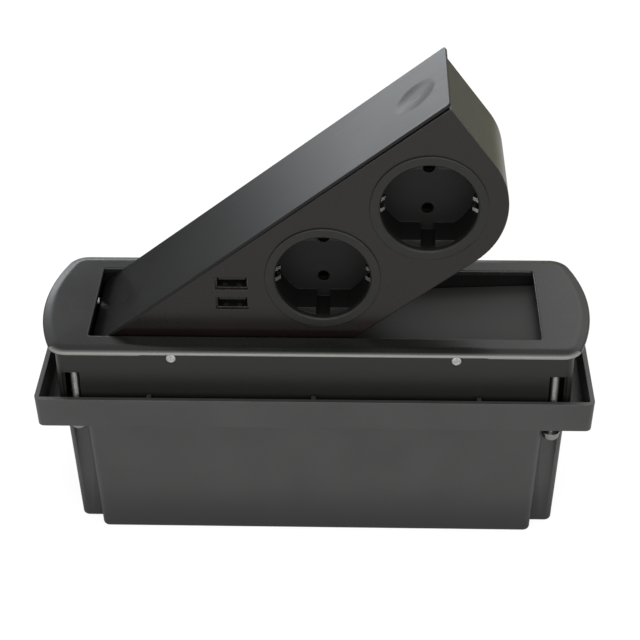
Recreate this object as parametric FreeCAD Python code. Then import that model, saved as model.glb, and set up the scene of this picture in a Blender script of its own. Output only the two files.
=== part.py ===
import FreeCAD
import Part
import math
import os

# Swivel desk socket, in millimetres.
# The origin is the middle of the tub's flat underside.
# X runs along the length, Y from front to back and Z up.
# The head is drawn closed, level with the bezel, then swung up to its open stop.

V = FreeCAD.Vector

# Heights, from the underside up
tub_depth = 63.5
rim_height = 14.0
desk_thickness = 17.6
bezel_thickness = 2.4

# Window and bezel plate
window_corner = 1.2
window_edge_round = 0.8
bezel_end_margin = 22.25
bezel_side_margin = 11.15
bezel_end_radius = 86.0
bezel_corner_radius = 9.0
bezel_crown_width = 4.0
bezel_crown_drop = 1.2
bezel_crown_round = 6.0
bezel_shoulder_round = 0.9
bezel_relief = 0.3
bezel_pad_length = 45.0

# Skirt under the bezel
skirt_end_inset = 8.95
skirt_side_inset = 1.55
skirt_wall = 2.2
skirt_corner = 4.0
skirt_floor_gap = 0.4
boss_depth = 10.0
boss_half = 5.1
boss_liner_gap = 0.4
notch_inward = 2.5
notch_outward = 4.9

# Clamp screws, standing at the four corners
clamp_end_inset = 7.3
clamp_side_inset = 3.2
clamp_shaft = 4.0
clamp_tip_gap = 2.0
clamp_play = 0.3
clamp_head = 7.0
clamp_head_height = 2.8
washer_diameter = 7.8
washer_thickness = 1.0
left_screw_drop = 4.5
right_screw_drop = 8.3

# Rim box and tub
rim_end_setback = 0.25
rim_side_reach = 7.35
rim_wall = 2.0
rim_corner = 2.8
rim_floor = 2.2
rim_end_ledge = 9.7
rim_side_ledge = 7.5
corner_step_x = 10.0
corner_step_y = 7.0
draft_angle = 2.0
tub_corner = 3.0
tub_wall = 2.2
tub_floor = 2.5
tub_bottom_round = 1.5
channel_radius = 4.6
channel_wall = 1.9
gusset_pitch = 69.0
gusset_reach = 5.0
gusset_toe = 2.5
gusset_drop = 9.0
gusset_top_gap = 1.0
gusset_top_slope = 1.0
gusset_thickness = 1.8
gusset_root = 0.5

# Cable entry in the left end wall
gland_height = 25.0
gland_back = 10.0
gland_thread = 15.8
gland_play = 0.1
gland_cable_bore = 9.6
gland_flange = 19.0
gland_flange_thickness = 3.0
gland_cap = 17.0
gland_cap_length = 1.6
gland_cap_round = 0.8
gland_pad_radius = 12.0
gland_pad_proud = 0.4
gland_pad_thickness = 4.6
gland_nut_thickness = 4.0
gland_thread_length = 10.0

# Liner round the head
liner_left_gap = 2.0
liner_right_gap = 8.8
liner_side_gap = 0.4
liner_wall = 1.6
liner_skirt_gap = 0.4
lug_x = 59.0
lug_width = 8.0
lug_height = 8.3
skirt_screw_drop = 4.3
skirt_screw_shaft = 2.5
skirt_screw_head = 4.2
skirt_screw_head_height = 1.0
skirt_screw_length = 6.8
screw_play = 0.15
stop_screw_y = 9.0
stop_screw_drop = 6.0
stop_screw_head = 3.0
stop_screw_head_height = 1.7
stop_screw_shaft = 1.8
stop_screw_length = 3.4

# Hinge of the head
open_angle = 38.0
pivot_inset = 10.6
pivot_drop = 6.0
pin_diameter = 3.0
pin_play = 0.05
pin_liner_play = 0.4
pin_head = 4.8
pin_head_height = 1.0
pin_grip = 5.3
bush_diameter = 5.4
bush_inward = 0.7
bush_outward = 0.2
spring_wire = 0.8
spring_play = 0.3
spring_pitch = 1.15
spring_turns = 4.0
spring_casing_gap = 1.1
spring_leg = 2.5

# Lid plate of the head
lid_side_play = 0.6
lid_thickness = 1.2
lid_end_play = 0.5
lid_nose_radius = 10.25
lid_corner = 1.5
lid_gap = 1.5
lid_hinge_gap = 0.3
dimple_diameter = 19.0
dimple_depth = 0.7
dimple_rim_round = 12.0
dimple_from_end = 15.8
plinth_inset_left = 12.0
plinth_inset_right = 5.0
plinth_front_inset = 5.0
plinth_rear_inset = 4.5

# Body of the head
panel_set_back = 1.9
panel_thickness = 2.2
panel_edge_round = 0.6
casing_wall = 2.0
casing_rear_inset = 3.4
hinge_step = 3.5
hinge_step_length = 7.0
wiring_length = 40.0
head_left_inset = 6.0
head_right_inset = 1.5
head_below_socket = 31.5
head_round = 31.9
head_heel_margin = 1.0
head_heel_round = 14.0
head_left_depth = 14.0
head_left_round = 4.0
head_corner_round = 1.0
pivot_hub = 9.0
pivot_hub_length = 7.0
spring_hub = 5.0

# Screws that hold the front panel, from the rear
panel_screw_top_drop = 10.0
panel_screw_low_drop = 56.0
panel_screw_from_left = 24.0
panel_screw_from_right = 6.0
panel_screw_from_heel = 15.0
panel_boss = 6.4
panel_screw_shaft = 3.0
panel_screw_head = 5.6
panel_screw_head_height = 1.6
panel_screw_length = 14.0
panel_boss_bore_depth = 16.0

# Earthed socket inserts
socket_from_end = 34.6
socket_spacing = 54.0
socket_drop = 33.4
recess_diameter = 39.0
recess_depth = 17.5
recess_edge = 0.6
cup_wall = 2.6
cup_play = 0.2
cup_floor = 2.5
ring_overlap = 1.6
ring_proud = 0.9
ring_round = 0.4
chord_depth = 3.3
chord_drop = 3.4
guide_slot = 5.8
pin_spacing = 19.0
pin_hole = 5.0
tower_radius = 5.2
tower_margin = 0.4
earth_slot_width = 7.6
earth_slot_inward = 0.9
earth_slot_outward = 1.8
earth_slot_front_gap = 1.8
tail_slot_width = 4.2
tail_slot_play = 0.25

# Contacts and bars
contact_outer = 6.6
contact_inner = 4.9
contact_play = 0.1
contact_floor_gap = 0.2
contact_length = 9.8
contact_base = 1.2
stud_diameter = 3.0
stud_margin = 0.7
clip_width = 6.4
clip_tail_width = 3.6
clip_thickness = 0.7
clip_outward = 1.0
clip_inward = 2.1
clip_tip_gap = 2.4
clip_crown_gap = 5.2
clip_crown_length = 1.3
clip_root_gap = 10.4
clip_slit = 3.2
bar_height = 5.0
bar_thickness = 0.8
bar_tower_gap = 0.2
earth_bar_height = 4.0
earth_bar_gap = 2.0
bar_overhang = 3.0

# Terminal block
terminal_length = 20.0
terminal_drop = 16.0
terminal_height = 29.5
terminal_bar_cover = 2.2
terminal_depth = 8.5
terminal_grip = 5.0
terminal_post = 6.0
terminal_post_length = 7.5
terminal_slot_play = 0.2
terminal_screw_shaft = 2.5
terminal_screw_head = 4.2
terminal_screw_head_height = 1.0
terminal_wire_hole = 4.0
terminal_wire_depth = 8.0
terminal_wire_inset = 3.5

# USB ports
usb_from_socket = 34.4
usb_drop = 16.65
usb_spacing = 9.75
usb_shell_width = 13.2
usb_shell_height = 5.7
usb_shell_wall = 0.35
usb_shell_length = 12.8
usb_shell_set_back = 1.4
usb_cut_play = 0.1
usb_tongue_width = 11.0
usb_tongue_thickness = 1.9
usb_tongue_set_back = 2.6
usb_tongue_gap = 0.3
usb_finger_width = 1.8
usb_finger_depth = 0.5
usb_finger_length = 3.0
usb_finger_offset = 2.9
usb_finger_set_back = 2.0
usb_finger_root = 0.1
usb_board_width = 16.0
usb_board_above = 7.9
usb_board_below = 18.1
usb_board_thickness = 1.6
usb_post = 4.0
usb_post_across = 5.0
usb_post_below = 14.0

# Flap behind the raised head
flap_pin_inset = 2.8
flap_pin_drop = 6.6
flap_pin_diameter = 2.4
flap_pin_play = 0.05
flap_length = 84.0
flap_side_play = 1.2
flap_thickness = 1.8
flap_slope = 2.4
flap_barrel = 4.4
flap_barrel_length = 12.0
flap_tip_bevel = 1.2
flap_rib_height = 1.2
flap_rib_width = 1.6
flap_rib_offset = 18.0
flap_rib_start = 26.0
flap_rib_end = 64.0

# Levels worked out from the sizes above
rim_bottom = tub_depth
rim_floor_top = rim_bottom + rim_floor
rim_top = rim_bottom + rim_height
bezel_under = rim_top + desk_thickness
bezel_top = bezel_under + bezel_thickness
skirt_bottom = rim_floor_top + skirt_floor_gap
liner_bottom = skirt_bottom + liner_skirt_gap
boss_bottom = bezel_under - boss_depth
lid_under = bezel_top - lid_thickness
head_top = lid_under - lid_gap
head_left_top = lid_under - lid_hinge_gap
socket_height = bezel_top - socket_drop
head_bottom = socket_height - head_below_socket
head_left_low = bezel_top - head_left_depth

# Depth of the head, from the panel's face to the rear, sets the window's width
cup_depth = recess_depth + cup_floor - ring_proud
bar_depth = cup_depth + contact_floor_gap + contact_length + tower_margin + bar_tower_gap
terminal_end_depth = bar_depth - terminal_bar_cover + terminal_depth
casing_depth = terminal_end_depth + terminal_post_length + casing_wall
lid_width = panel_set_back + casing_depth + casing_rear_inset
window_width = lid_width + 2 * lid_side_play

# What stands side by side in the head sets the window's length
head_contents = socket_from_end + socket_spacing + usb_from_socket + terminal_length
window_length = head_contents + wiring_length + head_left_inset
window_left = -window_length / 2
window_right = window_length / 2

# Lengths and widths of the frame and the tub
bezel_length = window_length + 2 * bezel_end_margin
bezel_width = window_width + 2 * bezel_side_margin
skirt_length = bezel_length - 2 * skirt_end_inset
skirt_width = bezel_width - 2 * skirt_side_inset
clamp_x = skirt_length / 2 - clamp_end_inset
clamp_y = skirt_width / 2 - clamp_side_inset
clamp_shaft_length = bezel_under - clamp_tip_gap - rim_bottom + left_screw_drop + washer_thickness
rim_length = bezel_length - 2 * rim_end_setback
rim_width = bezel_width + 2 * rim_side_reach
tub_end_length = rim_length - 2 * rim_end_ledge
tub_length = tub_end_length - 2 * corner_step_x
tub_width = rim_width - 2 * rim_side_ledge
tub_end_width = tub_width - 2 * corner_step_y
liner_left = window_length / 2 + liner_left_gap
liner_right = window_length / 2 + liner_right_gap
liner_width = window_width + 2 * liner_side_gap
gland_pad_face = tub_end_length / 2 + gland_pad_proud
gland_pad_inner = gland_pad_face - gland_pad_thickness

# The hinge, from the window's left end
pivot_x = window_left + pivot_inset
pivot_z = bezel_top - pivot_drop
pivot = V(pivot_x, 0, pivot_z)
pin_reach = liner_width / 2 + liner_wall + pin_liner_play
bush_inner_face = liner_width / 2 - bush_inward
bush_outer_face = liner_width / 2 + liner_wall + bush_outward

# The head, closed
lid_right = window_right - lid_end_play
panel_face = panel_set_back - lid_width / 2
panel_rear = panel_face + panel_thickness
casing_rear = panel_face + casing_depth
casing_inner_rear = casing_rear - casing_wall
hinge_rear = casing_rear - hinge_step
hinge_step_x = pivot_x + hinge_step_length
head_left = window_left + head_left_inset
head_right = lid_right - head_right_inset
front_pin_end = -panel_rear - pin_grip
rear_pin_end = hinge_rear - pin_grip
spring_hub_face = lid_width / 2

# The socket inserts, from the lid's free end
socket_right_x = window_right - socket_from_end
socket_left_x = socket_right_x - socket_spacing
socket_centres = (socket_left_x, socket_right_x)
cup_diameter = recess_diameter + 2 * cup_wall
ring_diameter = cup_diameter + 2 * ring_overlap
chord_offset = recess_diameter / 2 - chord_depth
ring_face = panel_face - ring_proud
recess_floor = ring_face + recess_depth
cup_rear = panel_face + cup_depth
contact_front = cup_rear + contact_floor_gap
contact_back = contact_front + contact_length
tower_end = contact_back + tower_margin
bar_face = panel_face + bar_depth
stud_end = bar_face + bar_thickness + stud_margin
earth_bar_face = bar_face + bar_thickness + earth_bar_gap
earth_slot_inner = recess_diameter / 2 - earth_slot_inward
earth_slot_outer = recess_diameter / 2 + earth_slot_outward
earth_slot_front = ring_face + earth_slot_front_gap
clip_radius = recess_diameter / 2 + clip_outward
clip_bend_radius = recess_diameter / 2 - clip_inward
clip_tip = ring_face + clip_tip_gap
clip_crown = ring_face + clip_crown_gap
clip_root = ring_face + clip_root_gap

# Ports, terminals and screws inside the head
usb_x = socket_left_x - usb_from_socket
usb_height = bezel_top - usb_drop
usb_board_face = panel_face + usb_shell_set_back + usb_shell_length
terminal_right = usb_x
terminal_left = terminal_right - terminal_length
head_heel_x = terminal_left - head_heel_margin
terminal_high = bezel_top - terminal_drop
terminal_low = terminal_high - terminal_height
terminal_front = bar_face - terminal_bar_cover
terminal_rear = panel_face + terminal_end_depth
panel_screw_top = bezel_top - panel_screw_top_drop
panel_screw_low = bezel_top - panel_screw_low_drop
panel_screw_middle = (socket_left_x + socket_right_x) / 2
panel_screw_points = ((head_left + panel_screw_from_left, panel_screw_top),
                      (panel_screw_middle, panel_screw_top),
                      (head_right - panel_screw_from_right, panel_screw_top),
                      (head_heel_x + panel_screw_from_heel, panel_screw_low),
                      (panel_screw_middle, panel_screw_low))

# The flap, from the liner's right end
flap_pin_x = liner_right - flap_pin_inset
flap_pin_z = bezel_top - flap_pin_drop
flap_axis = V(flap_pin_x, 0, flap_pin_z)
flap_width = liner_width - 2 * flap_side_play

axis_x = V(1, 0, 0)
axis_y = V(0, 1, 0)
axis_z = V(0, 0, 1)


def box(x0, x1, y0, y1, z0, z1):
    return Part.makeBox(x1 - x0, y1 - y0, z1 - z0, V(x0, y0, z0))


def rod_x(radius, x0, x1, y, z):
    return Part.makeCylinder(radius, x1 - x0, V(x0, y, z), axis_x)


def rod_y(radius, y0, y1, x, z):
    return Part.makeCylinder(radius, y1 - y0, V(x, y0, z), axis_y)


def rod_z(radius, z0, z1, x, y):
    return Part.makeCylinder(radius, z1 - z0, V(x, y, z0), axis_z)


def joined(shapes):
    result = shapes[0]
    if len(shapes) > 1:
        result = result.multiFuse(shapes[1:])
    return result.removeSplitter()


def corners_of_the_frame():
    return [(sx, sy) for sx in (-1, 1) for sy in (-1, 1)]


# A rounded rectangle lying level, centred on the origin
def level_rectangle(half_x, half_y, radius, z):
    flat = Part.makeBox(2 * half_x, 2 * half_y, 1.0, V(-half_x, -half_y, z))
    upright = [e for e in flat.Edges if abs(e.tangentAt(e.FirstParameter).z) > 0.99]
    flat = flat.makeFillet(radius, upright)
    for face in flat.Faces:
        if abs(face.CenterOfMass.z - z) < 0.001:
            return face.OuterWire


# A block that narrows downwards by the draft angle
def drafted_block(half_x, half_y, radius, z_low, z_high):
    shrink = (z_high - z_low) * math.tan(math.radians(draft_angle))
    low = level_rectangle(half_x - shrink, half_y - shrink, radius, z_low)
    high = level_rectangle(half_x, half_y, radius, z_high)
    return Part.makeLoft([low, high], True, True)


def rounded_underneath(body):
    low_edges = [e for e in body.Edges if e.BoundBox.ZMax < 0.01]
    return body.makeFillet(tub_bottom_round, low_edges)


def hexagon_x(across_flats, x0, x1, y, z):
    radius = across_flats / math.sqrt(3.0)
    points = []
    for k in range(7):
        angle = math.radians(60.0 * k + 30.0)
        points.append(V(x0, y + radius * math.cos(angle), z + radius * math.sin(angle)))
    return Part.Face(Part.makePolygon(points)).extrude(V(x1 - x0, 0, 0))


# Places a shape drawn for the head, closed, into its raised pose
def raised(shape):
    result = shape.copy()
    result.rotate(pivot, axis_y, -open_angle)
    return result


# Turns a shape drawn upright about the Y axis so that it stands upright once raised
def upright_on_head(shape, x, z):
    result = shape.copy()
    result.rotate(V(0, 0, 0), axis_y, open_angle)
    result.translate(V(x, 0, z))
    return result


# Where a point given upright about a centre lies on the closed head
def point_on_head(x, z, across, up):
    angle = math.radians(open_angle)
    px = x + across * math.cos(angle) + up * math.sin(angle)
    pz = z - across * math.sin(angle) + up * math.cos(angle)
    return px, pz


# Tub body

def make_lower_tub():
    rim = drafted_block(rim_length / 2, rim_width / 2, rim_corner, rim_bottom, rim_top)
    main = drafted_block(tub_length / 2, tub_width / 2, tub_corner, 0.0, rim_bottom)
    ends = drafted_block(tub_end_length / 2, tub_end_width / 2, tub_corner, 0.0, rim_bottom)
    body = joined([rounded_underneath(main), rounded_underneath(ends)])
    for sx, sy in corners_of_the_frame():
        body = body.cut(rod_z(channel_radius, -1.0, rim_bottom, sx * clamp_x, sy * clamp_y))
    pad = rod_x(gland_pad_radius, -gland_pad_face, -gland_pad_inner, gland_back, gland_height)
    body = joined([rim, body, pad])

    tray = drafted_block(rim_length / 2 - rim_wall, rim_width / 2 - rim_wall, rim_corner - rim_wall,
                         rim_floor_top, rim_top)
    main_hollow = drafted_block(tub_length / 2 - tub_wall, tub_width / 2 - tub_wall, tub_corner - tub_wall,
                                tub_floor, rim_floor_top)
    end_hollow = drafted_block(tub_end_length / 2 - tub_wall, tub_end_width / 2 - tub_wall,
                               tub_corner - tub_wall, tub_floor, rim_floor_top)
    hollow = joined([main_hollow, end_hollow])
    for sx, sy in corners_of_the_frame():
        guard = rod_z(channel_radius + channel_wall, 0.0, rim_floor_top, sx * clamp_x, sy * clamp_y)
        hollow = hollow.cut(guard)
    hollow = hollow.cut(rod_x(gland_pad_radius, -tub_end_length, -gland_pad_inner, gland_back,
                              gland_height))
    body = body.cut(tray).cut(hollow)

    for sx, sy in corners_of_the_frame():
        body = body.cut(rod_z(clamp_shaft / 2 + clamp_play, rim_bottom - 1, rim_floor_top + 1,
                              sx * clamp_x, sy * clamp_y))
    body = body.cut(rod_x(gland_thread / 2 + gland_play, -tub_end_length, -tub_length / 2,
                          gland_back, gland_height))
    return joined([body] + make_gussets())


# Small ribs between the rim's long walls and its floor
def make_gussets():
    ribs = []
    wall_y = rim_width / 2 - rim_wall + gusset_root
    toe_y = rim_width / 2 - rim_wall - gusset_reach
    top = rim_top - gusset_top_gap
    for side in (-1, 1):
        for k in (-1, 0, 1):
            x0 = k * gusset_pitch - gusset_thickness / 2
            points = [V(x0, side * wall_y, top),
                      V(x0, side * toe_y, top - gusset_top_slope),
                      V(x0, side * (toe_y + gusset_toe), top - gusset_drop),
                      V(x0, side * wall_y, top - gusset_drop)]
            face = Part.Face(Part.makePolygon(points + [points[0]]))
            ribs.append(face.extrude(V(gusset_thickness, 0, 0)))
    return ribs


def make_cable_gland():
    flange_end = -gland_pad_face - gland_flange_thickness
    thread = rod_x(gland_thread / 2, -gland_pad_face, -gland_pad_face + gland_thread_length,
                   gland_back, gland_height)
    flange = hexagon_x(gland_flange, flange_end, -gland_pad_face, gland_back, gland_height)
    cap = rod_x(gland_cap / 2, flange_end - gland_cap_length, flange_end, gland_back, gland_height)
    rims = [e for e in cap.Edges if e.BoundBox.XMax < flange_end - gland_cap_length + 0.01]
    cap = cap.makeFillet(gland_cap_round, rims)
    body = joined([thread, flange, cap])
    return body.cut(rod_x(gland_cable_bore / 2, flange_end - gland_cap_length - 1,
                          -gland_pad_face + gland_thread_length + 1, gland_back, gland_height))


def make_gland_nut():
    end = -gland_pad_inner + gland_nut_thickness
    nut = hexagon_x(gland_flange, -gland_pad_inner, end, gland_back, gland_height)
    return nut.cut(rod_x(gland_thread / 2 + gland_play, -gland_pad_inner - 1, end + 1,
                         gland_back, gland_height))


# Frame body

# Outline of the bezel: straight long sides, bowed ends and rounded corners
def bezel_outline(z):
    half_w = bezel_width / 2
    tip = bezel_length / 2
    corner = tip - bezel_end_radius + math.sqrt(bezel_end_radius ** 2 - half_w ** 2)
    edges = [Part.LineSegment(V(-corner, half_w, z), V(corner, half_w, z)).toShape(),
             Part.Arc(V(corner, half_w, z), V(tip, 0, z), V(corner, -half_w, z)).toShape(),
             Part.LineSegment(V(corner, -half_w, z), V(-corner, -half_w, z)).toShape(),
             Part.Arc(V(-corner, -half_w, z), V(-tip, 0, z), V(-corner, half_w, z)).toShape()]
    slab = Part.Face(Part.Wire(edges)).extrude(V(0, 0, bezel_thickness))
    upright = [e for e in slab.Edges if e.BoundBox.ZLength > bezel_thickness - 0.01]
    slab = slab.makeFillet(bezel_corner_radius, upright)
    for face in slab.Faces:
        if abs(face.CenterOfMass.z - z) < 0.001:
            return face


# The plate is crowned: its border falls away to a low upright edge
def make_bezel_plate():
    shoulder_z = bezel_top - bezel_crown_drop
    rim = bezel_outline(bezel_under).extrude(V(0, 0, shoulder_z - bezel_under))
    flat = bezel_outline(bezel_top).makeOffset2D(-bezel_crown_width)
    crown = Part.makeLoft([bezel_outline(shoulder_z).OuterWire, flat.OuterWire], True, True)
    plate = joined([rim, crown])
    shoulder = [e for e in plate.Edges
                if abs(e.BoundBox.ZMin - shoulder_z) < 0.01 and e.BoundBox.ZLength < 0.01]
    plate = plate.makeFillet(bezel_shoulder_round, shoulder)
    top_edges = [e for e in plate.Edges if e.BoundBox.ZMin > bezel_top - 0.01]
    plate = plate.makeFillet(bezel_crown_round, top_edges)
    opening = level_rectangle(window_length / 2, window_width / 2, window_corner, bezel_under - 1)
    plate = plate.cut(Part.Face(opening).extrude(V(0, 0, bezel_thickness + 2)))
    window_edges = []
    for e in plate.Edges:
        inside = abs(e.BoundBox.XMax) < window_right + 0.1 and abs(e.BoundBox.YMax) < window_width / 2 + 0.1
        inside = inside and abs(e.BoundBox.XMin) < window_right + 0.1
        if e.BoundBox.ZMin > bezel_top - 0.01 and inside and abs(e.BoundBox.YMin) < window_width / 2 + 0.1:
            window_edges.append(e)
    return plate.makeFillet(window_edge_round, window_edges)


# The bezel bears on the desk at its two ends, and its long sides stand just clear
def bezel_reliefs():
    reach = bezel_length / 2 - bezel_pad_length
    reliefs = []
    for side in (-1, 1):
        y0, y1 = sorted((side * (skirt_width / 2), side * bezel_width))
        reliefs.append(box(-reach, reach, y0, y1, bezel_under - 1, bezel_under + bezel_relief))
    return reliefs


def make_bezel_frame():
    outer = level_rectangle(skirt_length / 2, skirt_width / 2, skirt_corner, skirt_bottom)
    inner = level_rectangle(skirt_length / 2 - skirt_wall, skirt_width / 2 - skirt_wall,
                            skirt_corner - skirt_wall, skirt_bottom)
    skirt_rise = V(0, 0, bezel_under - skirt_bottom)
    skirt = Part.Face(outer).extrude(skirt_rise)
    skirt = skirt.cut(Part.Face(inner).extrude(skirt_rise))
    boss_near = clamp_y - (liner_width / 2 + liner_wall + boss_liner_gap)
    pieces = [make_bezel_plate(), skirt]
    for sx, sy in corners_of_the_frame():
        x0, x1 = sorted((sx * (clamp_x - boss_half), sx * (clamp_x + boss_half)))
        y0, y1 = sorted((sy * (clamp_y - boss_near), sy * (skirt_width / 2 - skirt_wall / 2)))
        pieces.append(box(x0, x1, y0, y1, boss_bottom, bezel_under))
    body = joined(pieces)
    for relief in bezel_reliefs():
        body = body.cut(relief)
    for sx, sy in corners_of_the_frame():
        x0, x1 = sorted((sx * (clamp_x - notch_inward), sx * (clamp_x + notch_outward)))
        y0, y1 = sorted((sy * (skirt_width / 2 - skirt_wall - 0.1), sy * skirt_width))
        body = body.cut(box(x0, x1, y0, y1, skirt_bottom - 1, boss_bottom))
        body = body.cut(rod_z(clamp_shaft / 2 + screw_play, boss_bottom - 1, bezel_under - 0.3,
                              sx * clamp_x, sy * clamp_y))
        y0, y1 = sorted((sy * (skirt_width / 2 - skirt_wall - 1), sy * (skirt_width / 2 + 1)))
        body = body.cut(rod_y(skirt_screw_shaft / 2 + screw_play, y0, y1, sx * lug_x,
                              bezel_top - skirt_screw_drop))
    return body


def make_well_liner():
    half = liner_width / 2
    body = box(-liner_left - liner_wall, liner_right + liner_wall, -half - liner_wall,
               half + liner_wall, liner_bottom, bezel_under)
    body = body.cut(box(-liner_left, liner_right, -half, half, liner_bottom - 1, bezel_under + 1))
    lugs = []
    for sx, sy in corners_of_the_frame():
        y0, y1 = sorted((sy * (half + liner_wall / 2), sy * (skirt_width / 2 - skirt_wall)))
        lugs.append(box(sx * lug_x - lug_width / 2, sx * lug_x + lug_width / 2, y0, y1,
                        bezel_under - lug_height, bezel_under))
    body = joined([body] + lugs)
    for sx, sy in corners_of_the_frame():
        y0, y1 = sorted((sy * (half + liner_wall), sy * skirt_width))
        body = body.cut(rod_y(skirt_screw_shaft / 2, y0, y1, sx * lug_x,
                              bezel_top - skirt_screw_drop))
    body = body.cut(rod_y(bush_diameter / 2, -skirt_width, skirt_width, pivot_x, pivot_z))
    body = body.cut(rod_y(flap_pin_diameter / 2, -skirt_width, skirt_width, flap_pin_x, flap_pin_z))
    return body.cut(rod_x(stop_screw_shaft / 2, -tub_end_length, -liner_left + 1, stop_screw_y,
                          bezel_top - stop_screw_drop))


# A pan head with a cross recess, its bearing face at the origin, shaft running up Z
def pan_screw(shaft, length, head, head_height):
    dome = Part.makeCylinder(head / 2, head_height, V(0, 0, -head_height), axis_z)
    rims = [e for e in dome.Edges if e.BoundBox.ZMax < -head_height + 0.01]
    dome = dome.makeFillet(head_height * 0.45, rims)
    body = joined([dome, Part.makeCylinder(shaft / 2, length)])
    arm = head * 0.3
    slot = head * 0.06
    depth = head_height * 0.6
    body = body.cut(box(-arm, arm, -slot, slot, -head_height - 1, -head_height + depth))
    return body.cut(box(-slot, slot, -arm, arm, -head_height - 1, -head_height + depth))


def turned_to(shape, direction, place):
    result = shape.copy()
    turn = FreeCAD.Rotation(axis_z, direction)
    result.Placement = FreeCAD.Placement(place, turn)
    return result


def make_skirt_screws():
    screw = pan_screw(skirt_screw_shaft, skirt_screw_length, skirt_screw_head,
                      skirt_screw_head_height)
    z = bezel_top - skirt_screw_drop
    screws = []
    for sx, sy in corners_of_the_frame():
        place = V(sx * lug_x, sy * skirt_width / 2, z)
        screws.append(turned_to(screw, V(0, -sy, 0), place))
    return Part.makeCompound(screws)


# The left pair is turned in further than the right pair
def clamp_drop(side):
    if side < 0:
        return left_screw_drop
    return right_screw_drop


def make_clamp_screws():
    screw = pan_screw(clamp_shaft, clamp_shaft_length, clamp_head, clamp_head_height)
    screws = []
    for sx, sy in corners_of_the_frame():
        z = rim_bottom - clamp_drop(sx) - washer_thickness
        screws.append(turned_to(screw, axis_z, V(sx * clamp_x, sy * clamp_y, z)))
    return Part.makeCompound(screws)


def make_clamp_washers():
    washers = []
    for sx, sy in corners_of_the_frame():
        z = rim_bottom - clamp_drop(sx) - washer_thickness
        ring = rod_z(washer_diameter / 2, z, z + washer_thickness, sx * clamp_x, sy * clamp_y)
        hole = rod_z(clamp_shaft / 2 + screw_play, z - 1, z + washer_thickness + 1,
                     sx * clamp_x, sy * clamp_y)
        washers.append(ring.cut(hole))
    return Part.makeCompound(washers)


def make_stop_screw():
    screw = pan_screw(stop_screw_shaft, stop_screw_length, stop_screw_head, stop_screw_head_height)
    return turned_to(screw, V(-1, 0, 0), V(-liner_left, stop_screw_y, bezel_top - stop_screw_drop))


def make_pivot_bushes():
    bushes = []
    for side in (-1, 1):
        y0, y1 = sorted((side * bush_inner_face, side * bush_outer_face))
        sleeve = rod_y(bush_diameter / 2, y0, y1, pivot_x, pivot_z)
        bushes.append(sleeve.cut(rod_y(pin_diameter / 2 + pin_play, y0 - 1, y1 + 1, pivot_x, pivot_z)))
    return Part.makeCompound(bushes)


# Coil round the rear hub, with a short straight end at each side
def make_return_spring():
    radius = spring_hub / 2 + spring_play + spring_wire / 2
    height = spring_pitch * spring_turns
    helix = Part.makeHelix(spring_pitch, height, radius)
    start = V(radius, 0, 0)
    low_leg = Part.LineSegment(V(radius, -spring_leg, 0), start).toShape()
    path = Part.Wire([low_leg] + helix.Edges)
    circle = Part.makeCircle(spring_wire / 2, V(radius, -spring_leg, 0), axis_y)
    coil = path.makePipeShell([Part.Wire(circle)], True, True)
    coil.rotate(V(0, 0, 0), axis_x, -90)
    coil.translate(V(pivot_x, hinge_rear + spring_casing_gap, pivot_z))
    return coil


def make_flap_pin():
    reach = liner_width / 2 + liner_wall
    return rod_y(flap_pin_diameter / 2, -reach, reach, flap_pin_x, flap_pin_z)


# Flap body

def make_flap():
    half = flap_width / 2
    tip = flap_pin_x - flap_length
    points = [V(flap_pin_x, -half, flap_pin_z), V(tip, -half, flap_pin_z),
              V(tip + flap_tip_bevel, -half, flap_pin_z - flap_thickness),
              V(flap_pin_x, -half, flap_pin_z - flap_thickness)]
    plate = Part.Face(Part.makePolygon(points + [points[0]])).extrude(V(0, flap_width, 0))
    ribs = []
    for side in (-1, 1):
        y = side * flap_rib_offset
        ribs.append(box(flap_pin_x - flap_rib_end, flap_pin_x - flap_rib_start, y - flap_rib_width / 2,
                        y + flap_rib_width / 2, flap_pin_z - flap_thickness - flap_rib_height,
                        flap_pin_z - flap_thickness))
    barrels = []
    for side in (-1, 1):
        y0, y1 = sorted((side * half, side * (half - flap_barrel_length)))
        barrels.append(rod_y(flap_barrel / 2, y0, y1, flap_pin_x, flap_pin_z))
    middle = half - flap_barrel_length
    relief = box(flap_pin_x - flap_barrel / 2, flap_pin_x + flap_barrel, -middle, middle,
                 flap_pin_z - flap_barrel, flap_pin_z + flap_barrel)
    body = joined([plate.cut(relief)] + barrels + ribs)
    body = body.cut(rod_y(flap_pin_diameter / 2 + flap_pin_play, -window_width, window_width,
                          flap_pin_x, flap_pin_z))
    body.rotate(flap_axis, axis_y, -flap_slope)
    return body


# Head body

def make_lid_plate():
    half = lid_width / 2
    left = pivot_x - lid_nose_radius
    plate = box(left - 1, lid_right, -half, half, lid_under, bezel_top)
    nose = rod_y(lid_nose_radius, -half, half, pivot_x, pivot_z)
    keep = joined([nose, box(pivot_x, lid_right, -half, half, lid_under, bezel_top)])
    plate = plate.common(keep)
    upright = []
    for e in plate.Edges:
        if e.BoundBox.ZLength > lid_thickness - 0.01 and e.BoundBox.XMin > lid_right - 0.01:
            if e.BoundBox.YLength < 0.01:
                upright.append(e)
    plate = plate.makeFillet(lid_corner, upright)
    sphere_radius = ((dimple_diameter / 2) ** 2 + dimple_depth ** 2) / (2 * dimple_depth)
    centre = V(lid_right - dimple_from_end, 0, bezel_top - dimple_depth + sphere_radius)
    plate = plate.cut(Part.makeSphere(sphere_radius, centre))
    rim = [e for e in plate.Edges if e.BoundBox.ZMin > bezel_top - 0.01
           and abs(e.BoundBox.XLength - dimple_diameter) < 0.1]
    return plate.makeFillet(dimple_rim_round, rim)


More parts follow.
